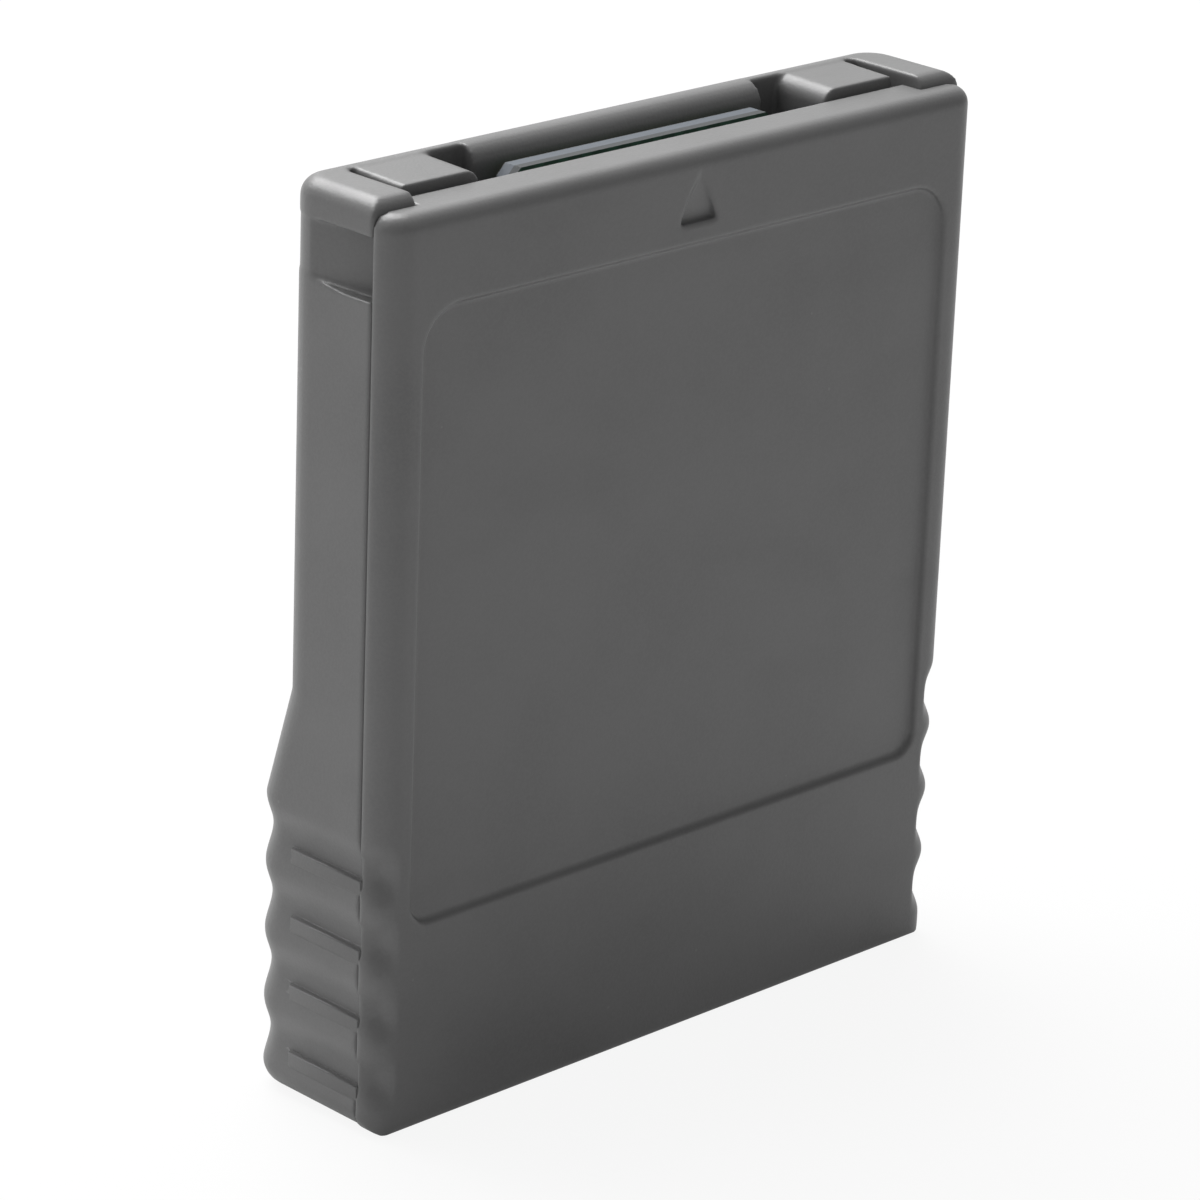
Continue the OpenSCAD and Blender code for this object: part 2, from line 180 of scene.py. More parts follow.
class Recipe:
    """The node tree of one material, built node by node."""

    def __init__(self, name: str) -> None:
        """Starts an empty material of that name with a Principled shader.

        Args:
            name: The material's name.
        """
        self.material = bpy.data.materials.new(name)
        self.material.use_nodes = True
        self.tree = self.material.node_tree
        self.shader = self.tree.nodes["Principled BSDF"]
        self._place: Term | None = None

    def add(
        self,
        kind: str,
        settings: dict[str, Any] | None = None,
        inputs: dict[Any, Any] | None = None,
        output: Any = 0,
    ) -> Term:
        """Adds any node.

        Args:
            kind: The node's type.
            settings: Properties, which are set first.
            inputs: Values or Terms for its sockets, by name or number.
            output: Name or number of the output wanted.

        Returns:
            That output as a Term.
        """
        node = self.tree.nodes.new(kind)
        for name, value in (settings or {}).items():
            setattr(node, name, value)
        for key, value in (inputs or {}).items():
            self.feed(node.inputs[key], value)
        return Term(self, node.outputs[output])

    def feed(self, socket: bpy.types.NodeSocket, value: Any) -> None:
        """Links a Term to a socket, or writes a plain value on it.

        Args:
            socket: The socket to fill.
            value: A Term, a number, or a colour or vector.
        """
        if isinstance(value, Term):
            self.tree.links.new(value.socket, socket)
        elif socket.type == "RGBA" and len(value) == 3:
            socket.default_value = (*value, 1.0)
        else:
            socket.default_value = value

    @property
    def place(self) -> Term:
        """Object coordinates, in metres.

        Returns:
            The coordinates, shared by all that ask for them.
        """
        if self._place is None:
            self._place = self.add("ShaderNodeTexCoord", output="Object")
        return self._place

    def axis(self, name: str) -> Term:
        """One of the object coordinates X, Y or Z."""
        return self.add("ShaderNodeSeparateXYZ", inputs={0: self.place}, output=name)

    def facing(self, name: str) -> Term:
        """One of the surface normal's parts X, Y or Z, between -1 and 1."""
        normal = self.add("ShaderNodeNewGeometry", output="Normal")
        return self.add("ShaderNodeSeparateXYZ", inputs={0: normal}, output=name)

    def noise(self, size_mm: float, detail: float = 2.0, stretch: Corner = (1.0, 1.0, 1.0)) -> Term:
        """Smooth noise between 0 and 1.

        Args:
            size_mm: Rough width of one blotch in millimetres.
            detail: Number of finer layers.
            stretch: Factors on the three coordinates; a small one draws blotches out.

        Returns:
            The noise.
        """
        where = self.add("ShaderNodeMapping", inputs={"Vector": self.place, "Scale": stretch})
        return self.add(
            "ShaderNodeTexNoise",
            inputs={"Vector": where, "Scale": 1.0 / (size_mm * MM), "Detail": detail},
        )

    def specks(self, spacing_mm: float, radius: float) -> Term:
        """Small round specks, 1 inside and 0 outside.

        Args:
            spacing_mm: Mean distance between specks in millimetres.
            radius: Speck radius as a part of the spacing.

        Returns:
            The mask.
        """
        distance = self.add(
            "ShaderNodeTexVoronoi",
            inputs={"Vector": self.place, "Scale": 1.0 / (spacing_mm * MM)},
            output="Distance",
        )
        return distance < radius

    def blend(self, mask: Any, low: Any, high: Any) -> Term:
        """Mixes two colours.

        Args:
            mask: 0 gives low and 1 gives high.
            low: Colour or Term.
            high: Colour or Term.

        Returns:
            The mixed colour.
        """
        node = self.tree.nodes.new("ShaderNodeMix")
        node.data_type = "RGBA"
        self.feed(node.inputs["Factor"], mask)
        self.feed(node.inputs[6], low)
        self.feed(node.inputs[7], high)
        return Term(self, node.outputs[2])

    def dress(self, **values: Any) -> None:
        """Fills the Principled shader's sockets, named with _ for a space."""
        for name, value in values.items():
            self.feed(self.shader.inputs[name.replace("_", " ")], value)

    def bump(self, height: Term, depth_mm: float, strength: float = 1.0) -> None:
        """Raises the surface where height is large.

        Args:
            height: Value between 0 and 1.
            depth_mm: Height in millimetres at 1.
            strength: Share of the effect that is used.
        """
        inputs = {"Height": height, "Distance": depth_mm * MM, "Strength": strength}
        self.dress(Normal=self.add("ShaderNodeBump", inputs=inputs))


class Sky(Recipe):
    """The node tree of the world."""

    def __init__(self, name: str) -> None:
        """Starts a world of that name with a plain background.

        Args:
            name: The world's name.
        """
        self.world = bpy.data.worlds.new(name)
        self.world.use_nodes = True
        self.tree = self.world.node_tree
        self.shader = self.tree.nodes["Background"]


class Finish(Protocol):
    """What every finish offers."""

    slot: str

    def make(self) -> bpy.types.Material:
        """Builds the material."""


@dataclass(frozen=True)
class MouldedPlastic:
    """Grey moulded plastic with a fine matt grain, faint handling marks and a little dust."""

    slot: str = "grey_plastic"
    base: Colour = (0.126, 0.126, 0.126)
    roughness: float = 0.4
    grain_mm: float = 0.16

    def make(self) -> bpy.types.Material:
        """Builds the material.

        Returns:
            The material.
        """
        mix = Recipe(self.slot)
        cloud = mix.noise(9.0, 3.0)
        grain = mix.noise(self.grain_mm, 2.0)
        smear = mix.noise(3.5, 4.0, (0.35, 1.0, 1.0)).ramp(0.52, 0.72)
        dust = mix.specks(3.1, 0.028)
        dark = tuple(0.93 * c for c in self.base)
        light = tuple(1.06 * c for c in self.base)
        tone = mix.blend(cloud.ramp(0.3, 0.7), dark, light)
        tone = mix.blend(grain.ramp(0.35, 0.65) * 0.22, tone, tuple(1.25 * c for c in self.base))
        tone = mix.blend(dust * 0.15, tone, (0.30, 0.30, 0.29))
        mix.dress(
            Base_Color=tone,
            Roughness=self.roughness + 0.07 * (cloud - 0.5) + 0.06 * smear,
        )
        mix.bump(grain, 0.012, 0.8)
        return mix.material


@dataclass(frozen=True)
class BoardLaminate:
    """Green solder mask on both faces and a pale, fibrous cut edge, whose middle is painted near
    black as shade.
    """

    slot: str = "board_laminate"
    mask: Colour = (0.012, 0.055, 0.03)
    edge: Colour = (0.075, 0.09, 0.11)
    # Depths in millimetres of the band of the cut edge painted near black: painted shade, not a
    # layer of the board.
    painted_shade_band: tuple[float, float] = (-0.45, 0.2)

    def make(self) -> bpy.types.Material:
        """Builds the material.

        Returns:
            The material.
        """
        mix = Recipe(self.slot)
        on_face = abs(mix.facing("Y")) > 0.7
        track = mix.add(
            "ShaderNodeTexWave",
            {"bands_direction": "X"},
            {"Vector": mix.place, "Scale": 190.0, "Distortion": 2.2, "Detail": 1.0},
        )
        fibre = mix.noise(0.25, 3.0, (0.2, 1.0, 1.0))
        light = tuple(1.5 * c for c in self.mask)
        face = mix.blend(track.ramp(0.62, 0.7), self.mask, light)
        depth = mix.axis("Y")
        # Painted shade: the band across the middle of the cut edge is coloured near black, standing
        # for the shaded gap in front of the lip.
        painted_shade_band = (depth > self.painted_shade_band[0] * MM) * (depth < self.painted_shade_band[1] * MM)
        rim = mix.blend(fibre, tuple(0.75 * c for c in self.edge), self.edge)
        rim = mix.blend(painted_shade_band, (0.012, 0.016, 0.018), rim)
        mix.dress(Base_Color=mix.blend(on_face, rim, face), Roughness=0.62 - 0.3 * on_face)
        mix.bump(track * on_face + fibre * (1.0 - on_face), 0.03, 0.5)
        return mix.material


@dataclass(frozen=True)
class PlatedMetal:
    """Plated sheet metal with rolling marks, a slight tarnish and fine scratches."""

    slot: str
    base: Colour
    tarnish: Colour
    roughness: float = 0.3

    def make(self) -> bpy.types.Material:
        """Builds the material.

        Returns:
            The material.
        """
        mix = Recipe(self.slot)
        rolled = mix.noise(0.5, 4.0, (1.0, 1.0, 0.06))
        stain = mix.noise(2.4, 3.0).ramp(0.5, 0.75)
        mix.dress(
            Base_Color=mix.blend(stain * 0.5, self.base, self.tarnish),
            Metallic=1.0,
            Roughness=self.roughness + 0.14 * rolled + 0.12 * stain,
        )
        mix.bump(rolled, 0.006, 0.6)
        return mix.material


@dataclass(frozen=True)
class HousingPlastic:
    """Dark filled resin of the card socket, with a pebbled mould surface."""

    slot: str = "black_plastic"
    base: Colour = (0.016, 0.016, 0.018)

    def make(self) -> bpy.types.Material:
        """Builds the material.

        Returns:
            The material.
        """
        mix = Recipe(self.slot)
        pebble = mix.noise(0.22, 3.0)
        flow = mix.noise(5.0, 2.0, (1.0, 1.0, 0.3))
        tone = mix.blend(flow.ramp(0.3, 0.75), self.base, tuple(1.9 * c for c in self.base))
        mix.dress(Base_Color=tone, Roughness=0.48 + 0.12 * pebble)
        mix.bump(pebble, 0.015, 0.7)
        return mix.material


@dataclass(frozen=True)
class FiredCeramic:
    """Fired ceramic of a chip resistor or capacitor."""

    slot: str
    base: Colour
    roughness: float = 0.4

    def make(self) -> bpy.types.Material:
        """Builds the material.

        Returns:
            The material.
        """
        mix = Recipe(self.slot)
        grain = mix.noise(0.09, 3.0)
        tone = mix.blend(grain.ramp(0.3, 0.7), tuple(0.8 * c for c in self.base), self.base)
        mix.dress(Base_Color=tone, Roughness=self.roughness + 0.15 * grain)
        mix.bump(grain, 0.008, 0.6)
        return mix.material


class Bench:
    """Mesh work in millimetres, done with Blender's own modelling tools."""

    @staticmethod
    def pick(piece: bpy.types.Object) -> None:
        """Selects one object alone and makes it active.

        Args:
            piece: The object.
        """
        bpy.ops.object.select_all(action="DESELECT")
        piece.select_set(True)
        bpy.context.view_layer.objects.active = piece

    @staticmethod
    def box(name: str, low: Corner, high: Corner) -> bpy.types.Object:
        """Adds a block between two corners.

        Args:
            name: Name of the new object.
            low: Lowest corner.
            high: Highest corner.

        Returns:
            The block.
        """
        middle = [(a + b) / 2 for a, b in zip(low, high)]
        size = [b - a for a, b in zip(low, high)]
        bpy.ops.object.select_all(action="DESELECT")
        bpy.ops.mesh.primitive_cube_add(size=1.0, location=middle, scale=size)
        return Bench.settle(name)

    @staticmethod
    def rod(name: str, start: Corner, length: float, radius: float, axis: Axis) -> bpy.types.Object:
        """Adds a round rod.

        Args:
            name: Name of the new object.
            start: Centre of its lower end.
            length: Length along the axis.
            radius: Its radius.
            axis: Direction it runs in.

        Returns:
            The rod.
        """
        middle = [value + (length / 2 if axis.value == i else 0.0) for i, value in enumerate(start)]
        turn = {Axis.X: (0, math.pi / 2, 0), Axis.Y: (math.pi / 2, 0, 0), Axis.Z: (0, 0, 0)}[axis]
        bpy.ops.object.select_all(action="DESELECT")
        bpy.ops.mesh.primitive_cylinder_add(
            vertices=ROD_SIDES, radius=radius, depth=length, location=middle, rotation=turn
        )
        return Bench.settle(name)

    @staticmethod
    def settle(name: str) -> bpy.types.Object:
        """Names the new object and writes its place into its mesh.

        Args:
            name: The object's name.

        Returns:
            The object.
        """
        piece = bpy.context.object
        piece.name = name
        bpy.ops.object.transform_apply(location=True, rotation=True, scale=True)
        return piece

    @staticmethod
    def round_all(
        piece: bpy.types.Object, test: EdgeTest, radius: float, axis: Axis | None = None
    ) -> None:
        """Rounds the edges that pass a test in one go, so that their corners blend.

        Args:
            piece: The object.
            test: Says of an edge's middle whether it is rounded.
            radius: The radius.
            axis: Direction the edges run in, or None for any.
        """
        Bench.pick(piece)
        bpy.ops.object.mode_set(mode="EDIT")
        bpy.ops.mesh.select_mode(type="EDGE")
        bpy.ops.mesh.select_all(action="DESELECT")
        shape = bmesh.from_edit_mesh(piece.data)
        for edge in shape.edges:
            first, second = edge.verts
            run = second.co - first.co
            along = axis is None or abs(run[axis.value]) > ALONG_SHARE * run.length
            if along and test((first.co + second.co) / 2):
                edge.select_set(True)
        bmesh.update_edit_mesh(piece.data)
        bpy.ops.mesh.bevel(offset=radius, segments=ROUND_STEPS, profile=0.5, affect="EDGES")
        bpy.ops.object.mode_set(mode="OBJECT")

    @staticmethod
    def round_edges(piece: bpy.types.Object, axis: Axis, test: EdgeTest, radius: float) -> None:
        """Rounds the straight edges along one axis that pass a test.

        Args:
            piece: The object.
            axis: Direction the edges run in.
            test: Says of an edge's middle whether it is rounded.
            radius: The radius.
        """
        Bench.round_all(piece, test, radius, axis)

    @staticmethod
    def slice_across(piece: bpy.types.Object, heights: list[float]) -> None:
        """Adds a ring of edges at each height.

        Args:
            piece: The object.
            heights: Heights of the rings.
        """
        Bench.pick(piece)
        bpy.ops.object.mode_set(mode="EDIT")
        for height in heights:
            bpy.ops.mesh.select_all(action="SELECT")
            bpy.ops.mesh.bisect(plane_co=(0.0, 0.0, height), plane_no=(0.0, 0.0, 1.0))
        bpy.ops.object.mode_set(mode="OBJECT")

    @staticmethod
    def shift(piece: bpy.types.Object, rule: Callable[[Vector], None]) -> None:
        """Moves each vertex by a rule that changes its place.

        Args:
            piece: The object.
            rule: Changes the place that it is given.
        """
        for vertex in piece.data.vertices:
            rule(vertex.co)
        piece.data.update()

    @staticmethod
    def combine(piece: bpy.types.Object, tool: bpy.types.Object, how: Combine) -> None:
        """Joins, cuts or trims a piece by another, which is used up.

        Args:
            piece: The object kept.
            tool: The object used on it.
            how: What is done.
        """
        Bench.pick(piece)
        modifier = piece.modifiers.new(how.name.lower(), "BOOLEAN")
        modifier.operation = how.value
        modifier.solver = "EXACT"
        modifier.object = tool
        bpy.ops.object.modifier_apply(modifier=modifier.name)
        bpy.data.objects.remove(tool, do_unlink=True)

    @staticmethod
    def merge(pieces: list[bpy.types.Object]) -> None:
        """Joins separate pieces into the first one.

        Args:
            pieces: The objects, of which the first stays.
        """
        Bench.pick(pieces[0])
        for piece in pieces[1:]:
            piece.select_set(True)
        bpy.ops.object.join()

    @staticmethod
    def soften(piece: bpy.types.Object, mesh: MeshGrade) -> None:
        """Melts sharp edges a little, as a worn mould gives them.

        Args:
            piece: The object.
            mesh: Grain, smoothing and triangle count.
        """
        Bench.pick(piece)
        melt = piece.modifiers.new("melt", "REMESH")
        melt.mode = "VOXEL"
        melt.voxel_size = mesh.voxel_mm
        bpy.ops.object.modifier_apply(modifier=melt.name)
        ease = piece.modifiers.new("ease", "SMOOTH")
        ease.factor = 0.5
        ease.iterations = mesh.turns
        bpy.ops.object.modifier_apply(modifier=ease.name)
        thin = piece.modifiers.new("thin", "DECIMATE")
        thin.ratio = min(1.0, mesh.triangles / (2.0 * len(piece.data.polygons)))
        bpy.ops.object.modifier_apply(modifier=thin.name)

    @staticmethod
    def finish(piece: bpy.types.Object) -> None:
        """Takes millimetres to metres and smooths the shading.

        Args:
            piece: The object.
        """
        Bench.pick(piece)
        piece.scale = (MM, MM, MM)
        bpy.ops.object.transform_apply(location=True, rotation=True, scale=True)
        bpy.ops.object.shade_smooth()
        level = piece.modifiers.new("level", "WEIGHTED_NORMAL")
        level.keep_sharp = False
        bpy.ops.object.modifier_apply(modifier=level.name)


@dataclass
class Shell:
    """Sizes in millimetres that both covers share."""

    half_width: float = 21.0
    height: float = 49.4
    rim_height: float = 50.0
    front: float = -5.05
    parting: float = -3.5
    flange_back: float = -2.15
    flange_under: float = 47.6
    rear: float = 3.15
    grip_rear: float = 5.05
    wall: float = 1.3
    crown: float = 44.3
    rim_inside: float = 18.15
    seam: float = 0.1
    visible_seam: float = 0.02
    groove_pitch: float = 3.85
    groove_depth: float = 0.44
    groove_first: float = 3.1
    groove_count: int = 4
    slot_half: float = 12.4
    slot_front: float = -3.6
    slot_back: float = -1.2
    slot_top: float = 3.5
    post_heights: tuple[float, float] = (7.2, 38.6)
    post_x: float = 16.1
    post_radius: float = 1.5

    @property
    def lowest_crest(self) -> float:
        """Height of the crest below the lowest groove."""
        return self.groove_first - self.groove_pitch / 2

    @property
    def highest_crest(self) -> float:
        """Height of the crest above the highest groove."""
        return self.groove_first + (self.groove_count - 0.5) * self.groove_pitch

    def wave(self, height: float) -> float:
        """Depth of the finger grooves at a height.

        Args:
            height: Height above the table.

        Returns:
            The depth, 0 on a crest and beyond the grooves.
        """
        if not self.lowest_crest < height < self.highest_crest:
            return 0.0
        turn = 2 * math.pi * (height - self.lowest_crest) / self.groove_pitch
        return self.groove_depth / 2 * (1 - math.cos(turn))

    def wave_heights(self) -> list[float]:
        """Heights at which a wavy side needs a ring of edges.

        Returns:
            The heights, from below.
        """
        steps = self.groove_count * RINGS_A_WAVE
        span = self.highest_crest - self.lowest_crest
        return [self.lowest_crest + span * i / steps for i in range(steps + 1)]

    def foot_outline(self, toe_radius: float) -> bpy.types.Object:
        """Makes a block whose rounded lower edges trim the front cover.

        Args:
            toe_radius: Radius of the lower front edge.

        Returns:
            The block, which reaches past the cover at the back and the top.
        """
        half, back = self.half_width, -BEFORE + OVERSHOOT
        block = Bench.box("foot", (-half, self.front, 0.0), (half, back, ABOVE))
        Bench.round_edges(block, Axis.X, lambda m: m.y < 0.0 and m.z < SLACK, toe_radius)
        wide, top = back + OVERSHOOT, ABOVE + OVERSHOOT
        sides = Bench.box("sides", (-half, -wide, 0.0), (half, wide, top))
        Bench.round_edges(sides, Axis.Y, lambda m: m.z < SLACK, self.lowest_crest)
        Bench.combine(block, sides, Combine.TRIM)
        return block

    def slot(self) -> bpy.types.Object:
        """Makes the block that opens the card slot through the grip end."""
        low = (-self.slot_half, self.slot_front, -OVERSHOOT)
        return Bench.box("slot", low, (self.slot_half, self.slot_back, self.slot_top))

    def post(self, side: int, height: float, start: float, length: float) -> bpy.types.Object:
        """Makes one post that holds the board.

        Args:
            side: -1 for the left and 1 for the right.
            height: Height of its axis.
            start: Where its front end lies in the thickness.
            length: Its length.

        Returns:
            The post.
        """
        centre = (side * self.post_x, start, height)
        return Bench.rod("post", centre, length, self.post_radius, Axis.Y)


@dataclass
class FrontCover:
    """The thin front cover with its label recess, insertion arrow and grooved sides."""

    shell: Shell
    edge_radius: float = 1.5
    brow_radius: float = 0.9
    scoop_gain: float = 1.35
    toe_radius: float = 0.4
    seam_share: float = 0.3
    label_half: float = 18.8
    label_low: float = 11.5
    label_high: float = 44.5
    label_depth: float = 0.35
    arrow_base: float = 45.63
    arrow_height: float = 2.87
    arrow_width: float = 2.7
    arrow_depth: float = 0.5
    arrow_tip: float = 0.02
    label_top_radius: float = 2.4
    label_foot_radius: float = 1.4
    brow_wall: float = 0.4
    post_sink: float = 0.2
    post_length: float = 3.0
    beside_low: float = 40.0
    mesh: MeshGrade = MeshGrade(0.13, 2, 150_000)

    def outer(self) -> bpy.types.Object:
        """Makes the solid outer form.

        Returns:
            The solid.
        """
        s = self.shell
        high = (s.half_width, s.flange_back, s.height)
        body = Bench.box("front_cover_body", (-s.half_width, s.front, 0.0), high)
        Bench.round_edges(body, Axis.Z, lambda m: m.y < s.front + SLACK, self.edge_radius)

        def brow(middle: Vector) -> bool:
            """Picks the top's front and side edges."""
            return middle.z > s.height - SLACK and middle.y < s.flange_back - SLACK

        Bench.round_all(body, brow, self.brow_radius)
        Bench.combine(body, s.foot_outline(self.toe_radius), Combine.TRIM)
        Bench.slice_across(body, s.wave_heights())
        Bench.shift(body, self.scoop)
        return body

    def scoop(self, place: Vector) -> None:
        """Hollows the rounded front edge at each finger groove.

        Args:
            place: A vertex of the cover, moved inward where it lies on the rounded edge.
        """
        s = self.shell
        across = abs(place.x) - (s.half_width - self.edge_radius)
        if across < SLACK:
            return
        turn = math.atan2(max(0.0, s.front + self.edge_radius - place.y), across)
        share = self.scoop_gain * math.sin(2 * turn)
        if turn < math.pi / 4:
            share = self.seam_share + (1.0 - self.seam_share / self.scoop_gain) * share
        inward = share * s.wave(place.z)
        place.x -= math.copysign(inward * math.cos(turn), place.x)
        place.y += inward * math.sin(turn)

    def hollow(self, body: bpy.types.Object) -> None:
        """Leaves thin sides, the flange between the rims and the posts inside.

        Args:
            body: The cover.
        """
        s = self.shell
        inner = s.half_width - s.wall
        behind = Bench.box("behind", (-FAR, s.parting, -OVERSHOOT), (FAR, 0.0, s.flange_under))
        Bench.combine(body, behind, Combine.CUT)
        flange_half = s.rim_inside - s.seam
        beside = []
        for side in (-1, 1):
            low, high = sorted((side * flange_half, side * FAR))
            start = (low, s.parting, self.beside_low)
            beside.append(Bench.box("beside", start, (high, 0.0, ABOVE)))
        Bench.merge(beside)
        Bench.combine(body, beside[0], Combine.CUT)
        room = Bench.box("room", (-inner, s.front + s.wall, s.wall), (inner, 0.0, s.crown))
        Bench.combine(body, room, Combine.CUT)
        low = (-s.rim_inside, s.front + s.wall + self.brow_wall, s.crown - OVERSHOOT)
        high = (s.rim_inside, 0.0, s.flange_under - self.brow_wall)
        Bench.combine(body, Bench.box("upper", low, high), Combine.CUT)
        start = s.front + s.wall - self.post_sink
        for side in (-1, 1):
            for height in s.post_heights:
                post = s.post(side, height, start, self.post_length)
                Bench.combine(body, post, Combine.ADD)

    def press_label(self, body: bpy.types.Object) -> None:
        """Presses the label recess into the face.

        Args:
            body: The cover.
        """
        floor = self.shell.front + self.label_depth
        low = (-self.label_half, floor - 2 * OVERSHOOT, self.label_low)
        stamp = Bench.box("stamp", low, (self.label_half, floor, self.label_high))
        Bench.round_edges(
            stamp, Axis.Y, lambda m: m.z > self.label_high - SLACK, self.label_top_radius
        )
        Bench.round_edges(
            stamp, Axis.Y, lambda m: m.z < self.label_low + SLACK, self.label_foot_radius
        )
        Bench.combine(body, stamp, Combine.CUT)

    def press_arrow(self, body: bpy.types.Object) -> None:
        """Presses the arrow in, deepest along its base.

        Args:
            body: The cover.
        """
        front = self.shell.front
        top = self.arrow_base + self.arrow_height
        half = self.arrow_width / 2
        low = (-half, front - OVERSHOOT, self.arrow_base)
        stamp = Bench.box("arrow", low, (half, front + self.arrow_depth, top))

        def point(place: Vector) -> None:
            """Draws the top to a point and up to the face.

            Args:
                place: A corner of the stamp.
            """
            if place.z > top - SLACK:
                place.x *= self.arrow_tip
                place.y = min(place.y, front + self.arrow_tip)

        Bench.shift(stamp, point)
        Bench.combine(body, stamp, Combine.CUT)

    def build(self) -> bpy.types.Object:
        """Makes the finished cover.

        Returns:
            The cover.
        """
        body = self.outer()
        self.hollow(body)
        self.press_label(body)
        self.press_arrow(body)
        Bench.combine(body, self.shell.slot(), Combine.CUT)
        Bench.soften(body, self.mesh)
        Bench.finish(body)
        return body


@dataclass
class RearCover:
    """The deep rear cover with its swollen grip, side notches, end blocks and mouth lip."""

    shell: Shell
    corner_radius: float = 2.0
    mouth_radius: float = 0.6
    foot_radius: float = 1.4
    rim_radius: float = 1.0
    rim_nose: float = 0.8
    ramp_top: float = 22.79
    notch_low: float = 45.2
    notch_high: float = 48.2
    notch_depth: float = 1.7
    notch_undercut: float = 0.7
    notch_step: float = 0.06
    notch_front: float = -5.0
    notch_back: float = 1.35
    block_inner: float = 12.35
    block_outer: float = 17.55
    block_front: float = -1.75
    block_back: float = 2.25
    block_top: float = 49.85
    block_foot: float = 44.5
    block_inner_radius: float = 0.9
    block_outer_radius: float = 0.2
    block_drop: float = 0.03
    lip_half: float = 10.3
    lip_depth: float = 2.3
    lip_foot: float = 45.0
    lip_back: float = 2.85
    lip_front_radius: float = 1.1
    lip_back_radius: float = 0.6
    rib_height: float = 0.8
    rib_drop: float = 0.85
    rib_face: float = 0.05
    rib_depth: float = 1.0
    rib_back: float = 2.35
    rib_slant: float = 0.5
    rib_lean: float = 0.055
    rib_radius: float = 0.07
    post_start: float = 0.3
    mesh: MeshGrade = MeshGrade(0.13, 2, 180_000)

    def outer(self) -> bpy.types.Object:
        """Makes the solid outer form.

        Returns:
            The solid.
        """
        s = self.shell
        start = s.parting + s.visible_seam
        high = (s.half_width, s.rear, s.rim_height)
        body = Bench.box("rear_cover_body", (-s.half_width, start, 0.0), high)
        Bench.slice_across(body, [s.highest_crest, self.ramp_top])

        def swell(place: Vector) -> None:
            """Pulls the lower back out to the grip."""
            if place.y > s.rear - SLACK and place.z < s.highest_crest + SLACK:
                place.y = s.grip_rear

        Bench.shift(body, swell)
        Bench.round_edges(body, Axis.Z, lambda m: m.y > s.rear - SLACK, self.corner_radius)

        def nose(middle: Vector) -> bool:
            """Picks the front top edge of the rim."""
            return middle.y < start + SLACK and middle.z > s.rim_height - SLACK

        Bench.round_edges(body, Axis.X, nose, self.rim_nose)
        Bench.slice_across(body, s.wave_heights() + self.rounding_heights())
        Bench.shift(body, self.draw_in)
        return body

    def rounding_heights(self) -> list[float]:
        """Heights at which the foot, the rim and the notch need a ring of edges.

        Returns:
            The heights.
        """
        heights = [self.notch_low - SLACK, self.notch_low, self.notch_high, self.notch_high + SLACK]
        for i in range(1, ROUND_STEPS):
            drop = 1.0 - math.cos(math.pi / 2 * i / ROUND_STEPS)
            heights.append(self.foot_radius * drop)
            heights.append(self.shell.rim_height - self.rim_radius * drop)
        return heights + [self.foot_radius, self.shell.rim_height - self.rim_radius]

    def draw_in(self, place: Vector) -> None:
        """Draws the outline in at the finger grooves, foot, rim and notch.

        Args:
            place: A vertex of the cover, moved inward at right angles to the outline.
        """
        s = self.shell
        height = place.z
        back = s.rear
        if height < self.ramp_top:
            rise = min(1.0, (self.ramp_top - height) / (self.ramp_top - s.highest_crest))
            back += (s.grip_rear - s.rear) * rise
        across = max(0.0, abs(place.x) - (s.half_width - self.corner_radius))
        behind = max(0.0, place.y - (back - self.corner_radius))
        reach = math.hypot(across, behind)
        if reach < SLACK:
            return
        side_share = across / reach
        inward = self.rounding(height, self.foot_radius)
        inward += self.rounding(s.rim_height - height, self.rim_radius)
        if self.notch_low - SLACK / 2 < height < self.notch_high + SLACK / 2:
            inward += self.notch_step * side_share
        place.x -= math.copysign((inward + s.wave(height)) * side_share, place.x)
        place.y -= (inward + s.wave(height) * side_share) * behind / reach

    @staticmethod
    def rounding(height: float, radius: float) -> float:
        """How far an edge rounding draws the outline in.

        Args:
            height: Height above the start of the rounding.
            radius: Its radius.

        Returns:
            The inward distance.
        """
        if height >= radius:
            return 0.0
        return radius - math.sqrt(max(0.0, radius**2 - (radius - height) ** 2))

    def hollow(self, body: bpy.types.Object) -> None:
        """Leaves a wall round the card room and opens the mouth.

        Args:
            body: The cover.
        """
        s = self.shell
        inner = s.half_width - s.wall
        room = Bench.box("room", (-inner, BEFORE, s.wall), (inner, s.rear - s.wall, s.crown))
        Bench.combine(body, room, Combine.CUT)
        high = (inner, s.grip_rear - s.wall, self.ramp_top)
        swell = Bench.box("swell", (-inner, 0.0, s.wall), high)

        def slope(place: Vector) -> None:
            """Follows the ramp with the top of the hollow."""
            if place.y > s.rear and place.z > self.ramp_top - SLACK:
                place.z = s.highest_crest

        Bench.shift(swell, slope)
        Bench.combine(body, swell, Combine.CUT)
        low = (-s.rim_inside, BEFORE, s.crown - OVERSHOOT / 2)
        high = (s.rim_inside, s.rear - s.wall, s.rim_height + 2 * OVERSHOOT)
        mouth = Bench.box("mouth", low, high)
        Bench.round_edges(mouth, Axis.Z, lambda m: m.y > 0.0, self.mouth_radius)
        Bench.combine(body, mouth, Combine.CUT)

    def add_blocks(self, body: bpy.types.Object) -> None:
        """Adds the raised blocks at the two ends of the mouth.

        Args:
            body: The cover.
        """
        blocks = [self.end_block(side) for side in (-1, 1)]
        Bench.merge(blocks)
        Bench.combine(body, blocks[0], Combine.ADD)

    def end_block(self, side: int) -> bpy.types.Object:
        """Makes the raised block at one end of the mouth.

        Args:
            side: -1 for the left and 1 for the right.

        Returns:
            The block.
        """
        low, high = sorted((side * self.block_inner, side * self.block_outer))
        start = (low, self.block_front, self.block_foot)
        block = Bench.box("block", start, (high, self.block_back, self.block_top))
        Bench.shift(block, self.lift_block)
        top = self.block_top - 0.1

        def inside(middle: Vector) -> bool:
            """Picks the top edge toward the mouth."""
            return abs(middle.x) < self.block_inner + SLACK and middle.z > top

